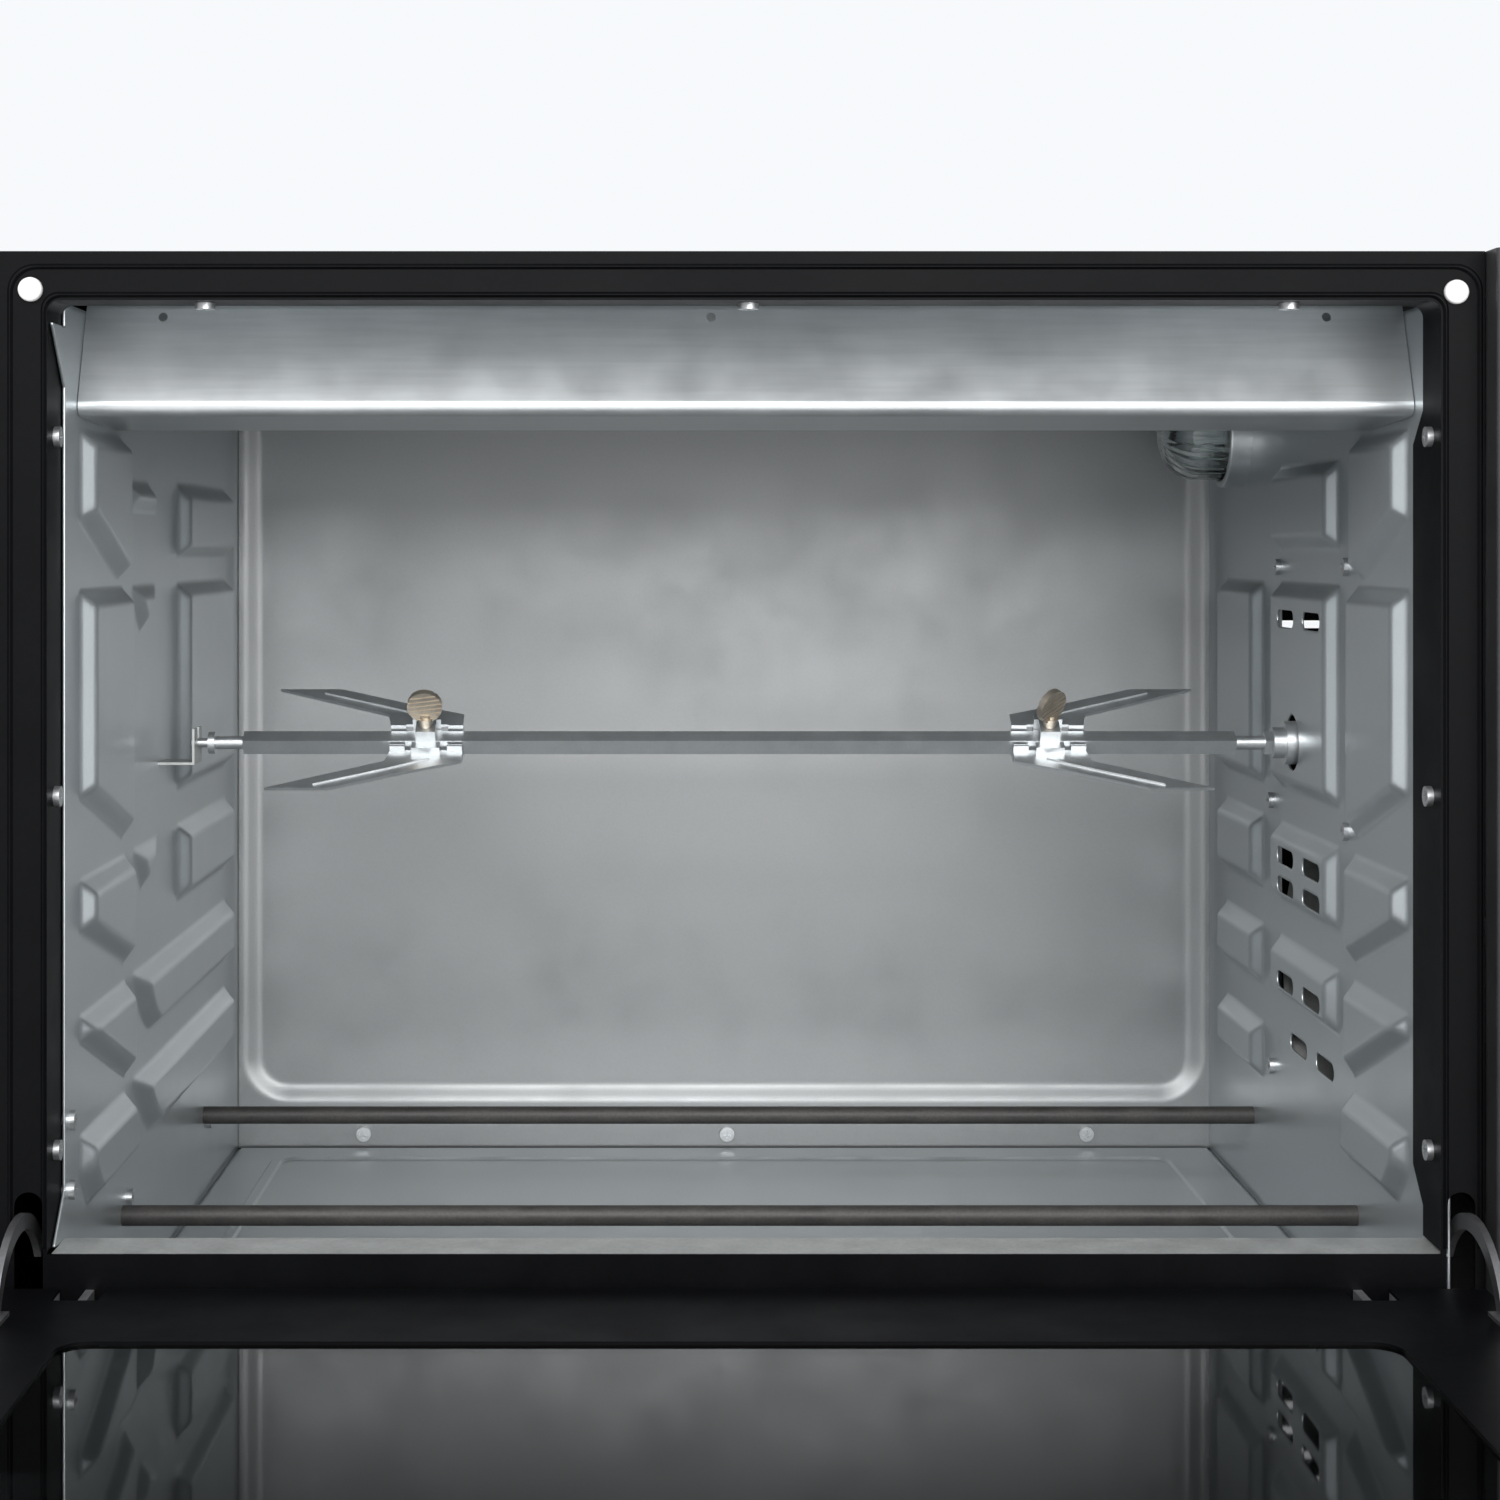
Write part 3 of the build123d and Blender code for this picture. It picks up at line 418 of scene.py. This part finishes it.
wall_step = 1.25
depth_mm = (cavity_back - cavity_front) / mm
height_mm = (cavity_top - cavity_floor) / mm
left_wall = pressed_sheet(
    "left_wall_sheet", (-left_reach, depth_mm), (sheet_foot, height_mm), wall_step,
    wall_height(left_panels, left_nibs), (cavity_left, cavity_front, cavity_floor),
    (0, 1, 0), (0, 0, 1), (1, 0, 0))
# Only two small tabs of the left wall run forward behind the frame.
past_edge = 3
waste_front = -25
front_edge = [(0, -past_edge), (0, 53.3), (-16, 55.3), (0, 71.4), (0, 358), (-left_reach, 379.6),
              (0, 379.6), (0, height_mm + past_edge), (waste_front, height_mm + past_edge),
              (waste_front, -past_edge)]
cutter_half = 12 * mm
cut(left_wall, rods("front_edge", [(0, 0)], front_edge, cavity_left - cutter_half,
                    cavity_left + cutter_half))
finish(left_wall, "cavity_steel", stands_for=["left_wall"])

right_wall = pressed_sheet(
    "right_wall_sheet", (-right_reach, depth_mm), (sheet_foot, height_mm), wall_step,
    wall_height(right_panels), (cavity_right, cavity_front, cavity_floor),
    (0, 1, 0), (0, 0, 1), (-1, 0, 0))
vent_spots = [(y, z) for y in (150, 195) for z in (270, 167, 154, 113, 85.5)]
vent_length, vent_width = 30, 7.5
drive_hole, lamp_hole = 12, 20
spit_spot = ((spit_y - cavity_front) / mm, (spit_z - cavity_floor) / mm)
lamp_spot = ((lamp_y - cavity_front) / mm, (lamp_z - cavity_floor) / mm)
for name, spots, profile in (("vents", vent_spots, slot_profile(vent_length, vent_width)),
                             ("drive_hole", [spit_spot], circle_profile(drive_hole)),
                             ("lamp_hole", [lamp_spot], circle_profile(lamp_hole))):
    cut(right_wall, rods(name, spots, profile, cavity_right - cutter_half,
                         cavity_right + cutter_half))
finish(right_wall, "cavity_steel", stands_for=["right_wall"])


def rounded_inset(u, v, half_u, half_v, radius):
    """How far (u, v) lies inside a rounded rectangle centred on zero."""
    du, dv = np.abs(u) - half_u + radius, np.abs(v) - half_v + radius
    outside = np.hypot(np.maximum(du, 0), np.maximum(dv, 0))
    return radius - outside - np.minimum(np.maximum(du, dv), 0)


def back_height(x, z):
    """The relief of the back wall: one recess with rounded corners."""
    inset = rounded_inset(x - width_mm / 2, z - (recess_foot + height_mm - recess_head) / 2,
                          width_mm / 2 - recess_side,
                          (height_mm - recess_foot - recess_head) / 2, recess_corner)
    return -press(inset, recess_depth, recess_ramp)


width_mm = cavity_width / mm
side_lap = 0.9               # the back wall runs this far into the side walls
back_wall = pressed_sheet(
    "back_wall_sheet", (-side_lap, width_mm + side_lap), (sheet_foot, height_mm),
    wall_step * 4 / 3, back_height, (cavity_left, cavity_back, cavity_floor),
    (1, 0, 0), (0, 0, 1), (0, -1, 0))
# the back wall uses the darkened copy of the cavity steel, painted shade
finish(back_wall, "cavity_steel", stands_for=["back_wall"], look="shaded_back_steel")

# ---------------------------------------------------------------- lamp glass
def fluted_dome(name, centre, radius, straight, length, wall, flutes):
    """A glass thimble along -X from its centre, with moulded flutes and closed walls."""
    around = 8 * flutes
    flute_depth = 0.9
    turns = np.arange(around) * 2 * pi / around
    wave = 0.5 + 0.5 * np.cos(turns * flutes)
    arc = np.linspace(0, pi / 2, 15)[:-1]
    outer = [(0, 1, 0.1), (3, 1, 0.1)] + [(x, 1, 1) for x in np.linspace(5, straight, 6)]
    outer += [(straight + (length - straight) * sin(a), cos(a), cos(a)) for a in arc[1:]]
    rings = []
    for shrink, order in ((0, outer), (wall, outer[::-1])):
        for x, scale, depth in order:
            reach = (radius - shrink) * scale - (flute_depth * wave * depth if not shrink else 0)
            tip = x * (1 - shrink / length)
            rings.append(np.stack([np.full(around, -tip), reach * np.cos(turns),
                                   reach * np.sin(turns)], 1))
    verts = [Vector(centre) + Vector(v) * mm for ring in rings for v in ring]
    half, faces = len(outer), []
    for r in list(range(half - 1)) + list(range(half, 2 * half - 1)):
        for i in range(around):
            j = (i + 1) % around
            faces.append([r * around + i, (r + 1) * around + i, (r + 1) * around + j,
                          r * around + j])
    for i in range(around):
        j = (i + 1) % around
        faces.append([(2 * half - 1) * around + i, i, j, (2 * half - 1) * around + j])
    faces.append([(half - 1) * around + i for i in range(around)])
    faces.append([half * around + i for i in reversed(range(around))])
    dome = mesh_object(name, verts, faces)
    bm = bmesh.new()
    bm.from_mesh(dome.data)
    bmesh.ops.recalc_face_normals(bm, faces=bm.faces)
    bm.to_mesh(dome.data)
    bm.free()
    return dome


lamp_dome = fluted_dome("lamp_dome", (cavity_right, lamp_y, lamp_z), radius=21.3, straight=22,
                        length=39.5, wall=2.2, flutes=28)
finish(lamp_dome, "lamp_glass", stands_for=["lamp_glass"])

# ---------------------------------------------------------------- stage, light and camera
def floor():
    """A plain pale floor."""
    bpy.ops.mesh.primitive_plane_add(size=12, location=(0, 0, 0))
    plane = bpy.context.object
    plane.name = "floor"
    nodes = Nodes("floor")
    tone = nodes.ramp(nodes.noise(3, 2), (0.80, 0.80, 0.80), (0.84, 0.84, 0.84))
    nodes.link(tone, "Color", nodes.shader, "Base Color")
    nodes.set(Roughness=0.6)
    plane.data.materials.append(nodes.material)


def area_light(name, place, target, size, power):
    light = bpy.data.lights.new(name, "AREA")
    light.shape = "RECTANGLE"
    light.size, light.size_y = size
    light.energy = power
    lamp = bpy.data.objects.new(name, light)
    lamp.location = place
    lamp.rotation_euler = (Vector(target) - Vector(place)).to_track_quat("-Z", "Y").to_euler()
    bpy.context.scene.collection.objects.link(lamp)


def camera():
    """The camera, level and square to the oven, left of the cavity's centre line."""
    data = bpy.data.cameras.new("camera")
    data.sensor_width = 36
    data.lens = 63.1
    data.shift_x, data.shift_y = 0.0567, -0.1367
    lens = bpy.data.objects.new("camera", data)
    left_of_middle, distance, above_floor = 29.5 * mm, 939 * mm, 301.8 * mm
    lens.location = (cavity_middle - left_of_middle, cavity_front - distance,
                     cavity_floor + above_floor)
    lens.rotation_euler = (radians(90), 0, 0)
    bpy.context.scene.collection.objects.link(lens)
    bpy.context.scene.camera = lens


floor()
camera()
middle = (cavity_middle, (cavity_front + cavity_back) / 2, cavity_floor + 180 * mm)
area_light("key", (-0.9, -1.7, 1.6), middle, (1.4, 1.2), 42)
area_light("fill", (0.9, -1.9, 0.8), middle, (1.2, 1.2), 24)
area_light("over_camera", (cavity_middle, -1.5, 0.75), middle, (0.7, 0.5), 11)
bpy.context.scene.view_settings.view_transform = "Standard"
world = bpy.data.worlds.new("studio")
bpy.context.scene.world = world
world.use_nodes = True
world.node_tree.nodes["Background"].inputs["Color"].default_value = (0.93, 0.95, 0.97, 1)
world.node_tree.nodes["Background"].inputs["Strength"].default_value = 1.0
